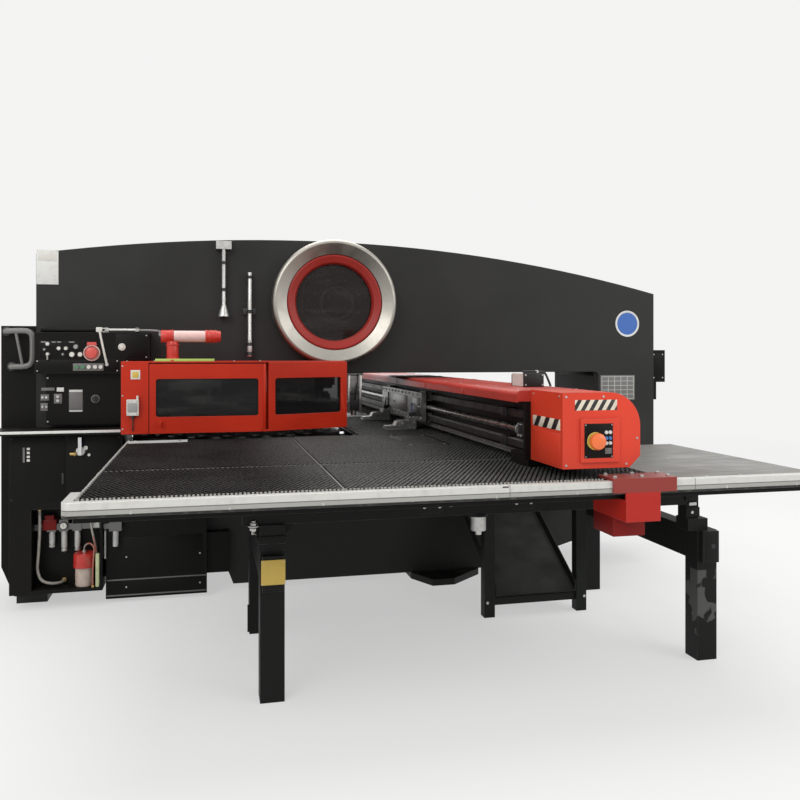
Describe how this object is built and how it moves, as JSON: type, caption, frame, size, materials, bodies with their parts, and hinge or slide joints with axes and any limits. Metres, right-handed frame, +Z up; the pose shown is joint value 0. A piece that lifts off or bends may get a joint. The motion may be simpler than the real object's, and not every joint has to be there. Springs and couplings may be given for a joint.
{
  "type": "cnc turret punch press",
  "caption": "CNC turret punch press with a bridge frame, a crank-driven ram over two turrets, a guarded turret, and a travelling brush table with a clamp carriage.",
  "frame": {"origin": "on the floor under the punch centre, midway between the middle pair of anchor holes", "axes": "+X along the frame towards its rear, +Y to the far side of the frame, +Z up"},
  "size_m": [4.22, 5.208, 2.122],
  "materials": {
    "charcoal_paint": "near-black fine-texture paint",
    "panel_black": "black satin paint",
    "orange_red_paint": "orange-red gloss paint",
    "red_paint": "red gloss paint",
    "ring_silver": "satin silver",
    "bezel_red": "red satin paint",
    "dark_pane": "dark tinted pane",
    "guard_pane": "smoked pane",
    "machined_steel": "ground steel",
    "turret_steel": "oiled dark steel",
    "tool_steel": "turned steel",
    "motor_black": "black motor paint",
    "brush_black": "black brush field",
    "plate_grey": "worn grey-brown steel plate",
    "edge_aluminium": "pale anodised aluminium",
    "bright_aluminium": "machined aluminium",
    "bowl_clear": "clear plastic bowls on a cast head",
    "hose_clear": "soft translucent hose",
    "jar_white": "milky plastic",
    "pale_cream": "pale motor housing",
    "stop_red": "red plastic",
    "key_white": "white plastic",
    "knob_black": "black plastic",
    "lever_steel": "plated steel",
    "lock_pale": "pale plastic",
    "roller_steel": "turned steel"
  },
  "bodies": {
    "root": {"near_side_plate": "charcoal_paint", "far_side_plate": "charcoal_paint", "frame_rim": "charcoal_paint", "window_lining": "charcoal_paint", "foot_pads": "charcoal_paint", "frame_covers": "panel_black", "drive_cover_ring": "ring_silver", "drive_cover_bezel": "bezel_red", "drive_window": "dark_pane", "drive_motor": "motor_black", "drive_bearings": "turret_steel", "turret_gearmotors": "motor_black", "guard_frames": "orange_red_paint", "guard_windows": "guard_pane", "guard_lock": "lock_pale", "signal_lamp": "red_paint", "service_pipes": "lever_steel", "console_box": "panel_black", "air_cabinet": "charcoal_paint", "air_unit": "bowl_clear", "air_hoses": "hose_clear", "oil_reservoir": "jar_white", "centre_table": "panel_black", "support_frames": "charcoal_paint", "scrap_chute": "panel_black", "travel_motor": "motor_black"},
    "crank": {"crankshaft": "machined_steel"},
    "ram": {"ram": "machined_steel", "connecting_rod": "turret_steel", "striker": "tool_steel"},
    "upper_turret": {"upper_turret": "turret_steel", "punch_holders": "tool_steel"},
    "lower_turret": {"lower_turret": "turret_steel", "die_holders": "tool_steel"},
    "guard_door": {"guard_door": "orange_red_paint", "guard_door_window": "guard_pane"},
    "console_stop": {"console_stop": "stop_red"},
    "start_button": {"start_button": "key_white"},
    "mode_selector": {"mode_selector": "knob_black"},
    "valve_lever": {"valve_lever": "lever_steel"},
    "near_front_roller": {"near_front_roller": "roller_steel"},
    "near_rear_roller": {"near_rear_roller": "roller_steel"},
    "far_front_roller": {"far_front_roller": "roller_steel"},
    "far_rear_roller": {"far_rear_roller": "roller_steel"},
    "travel_screw": {"travel_screw": "machined_steel"},
    "table": {"side_tables": "panel_black", "brush_panels": "brush_black", "rear_panels": "plate_grey", "edge_rails": "edge_aluminium", "carriage_beam": "panel_black", "beam_cover": "orange_red_paint", "end_boxes": "orange_red_paint", "carriage_rails": "machined_steel", "carriage_motor": "pale_cream"},
    "near_stop": {"near_stop": "stop_red"},
    "carriage_screw": {"carriage_screw": "machined_steel"},
    "carriage": {"carriage_plate": "bright_aluminium", "clamp_bodies": "bright_aluminium"},
    "near_clamp_jaw": {"near_clamp_jaw": "tool_steel"},
    "far_clamp_jaw": {"far_clamp_jaw": "tool_steel"}
  },
  "joints": [
    {"name": "crank_swing", "type": "hinge", "parent": "root", "child": "crank", "pos_m": [0.022, 0, 1.741], "axis": [0, 1, 0], "range_deg": [-45, 45]},
    {"name": "ram_stroke", "type": "slide", "parent": "root", "child": "ram", "axis": [0, 0, 1], "range_m": [-0.0185, 0.0185]},
    {"name": "upper_turret_turn", "type": "hinge", "parent": "root", "child": "upper_turret", "pos_m": [-0.56, 0, 1.06], "axis": [0, 0, 1], "continuous": true},
    {"name": "lower_turret_turn", "type": "hinge", "parent": "root", "child": "lower_turret", "pos_m": [-0.56, 0, 0.9], "axis": [0, 0, 1], "continuous": true},
    {"name": "guard_door_swing", "type": "hinge", "parent": "root", "child": "guard_door", "pos_m": [-0.446, -0.75, 1.18], "axis": [0, 0, 1], "range_deg": [0, 110]},
    {"name": "console_stop_press", "type": "slide", "parent": "root", "child": "console_stop", "axis": [0, 1, 0], "range_m": [0, 0.005], "stiffness_N_per_m": 1500},
    {"name": "start_press", "type": "slide", "parent": "root", "child": "start_button", "axis": [0, 1, 0], "range_m": [0, 0.0035], "stiffness_N_per_m": 600},
    {"name": "mode_selector_turn", "type": "hinge", "parent": "root", "child": "mode_selector", "pos_m": [-1.377, -0.45, 1.17], "axis": [0, 1, 0], "range_deg": [-45, 45]},
    {"name": "valve_turn", "type": "hinge", "parent": "root", "child": "valve_lever", "pos_m": [-1.449, -0.5, 0.881], "axis": [0, 1, 0], "range_deg": [0, 90]},
    {"name": "table_travel", "type": "slide", "parent": "root", "child": "table", "axis": [1, 0, 0], "range_m": [-0.285, 0.985]},
    {"name": "travel_screw_turn", "type": "hinge", "parent": "root", "child": "travel_screw", "pos_m": [-0.5, -0.45, 0.8], "axis": [1, 0, 0], "continuous": true},
    {"name": "near_front_roller_turn", "type": "hinge", "parent": "root", "child": "near_front_roller", "pos_m": [-0.57, -2, 0.8406], "axis": [0, 1, 0], "continuous": true},
    {"name": "near_rear_roller_turn", "type": "hinge", "parent": "root", "child": "near_rear_roller", "pos_m": [1.42, -2, 0.8406], "axis": [0, 1, 0], "continuous": true},
    {"name": "far_front_roller_turn", "type": "hinge", "parent": "root", "child": "far_front_roller", "pos_m": [-0.57, 2, 0.8406], "axis": [0, 1, 0], "continuous": true},
    {"name": "far_rear_roller_turn", "type": "hinge", "parent": "root", "child": "far_rear_roller", "pos_m": [1.42, 2, 0.8406], "axis": [0, 1, 0], "continuous": true},
    {"name": "near_stop_press", "type": "slide", "parent": "table", "child": "near_stop", "axis": [0, 1, 0], "range_m": [0, 0.005], "stiffness_N_per_m": 1500},
    {"name": "carriage_travel", "type": "slide", "parent": "table", "child": "carriage", "axis": [0, 1, 0], "range_m": [-1.25, 1.25]},
    {"name": "carriage_screw_turn", "type": "hinge", "parent": "table", "child": "carriage_screw", "pos_m": [0.559, 0, 1.1], "axis": [0, 1, 0], "continuous": true},
    {"name": "near_clamp_jaw_open", "type": "hinge", "parent": "carriage", "child": "near_clamp_jaw", "pos_m": [0.424, -0.38, 0.99], "axis": [0, 1, 0], "range_deg": [0, 8]},
    {"name": "far_clamp_jaw_open", "type": "hinge", "parent": "carriage", "child": "far_clamp_jaw", "pos_m": [0.424, 0.38, 0.99], "axis": [0, 1, 0], "range_deg": [0, 8]}
  ],
  "couplings": [
    {"joint": "ram_stroke", "follows": "crank_swing", "m_per_rad": 0.023408},
    {"joint": "lower_turret_turn", "follows": "upper_turret_turn", "ratio": 1},
    {"joint": "travel_screw_turn", "follows": "table_travel", "rad_per_m": 157.08},
    {"joint": "carriage_screw_turn", "follows": "carriage_travel", "rad_per_m": 157.08},
    {"joint": "near_front_roller_turn", "follows": "table_travel", "rad_per_m": 26.316},
    {"joint": "near_rear_roller_turn", "follows": "table_travel", "rad_per_m": 26.316},
    {"joint": "far_front_roller_turn", "follows": "table_travel", "rad_per_m": 26.316},
    {"joint": "far_rear_roller_turn", "follows": "table_travel", "rad_per_m": 26.316}
  ]
}
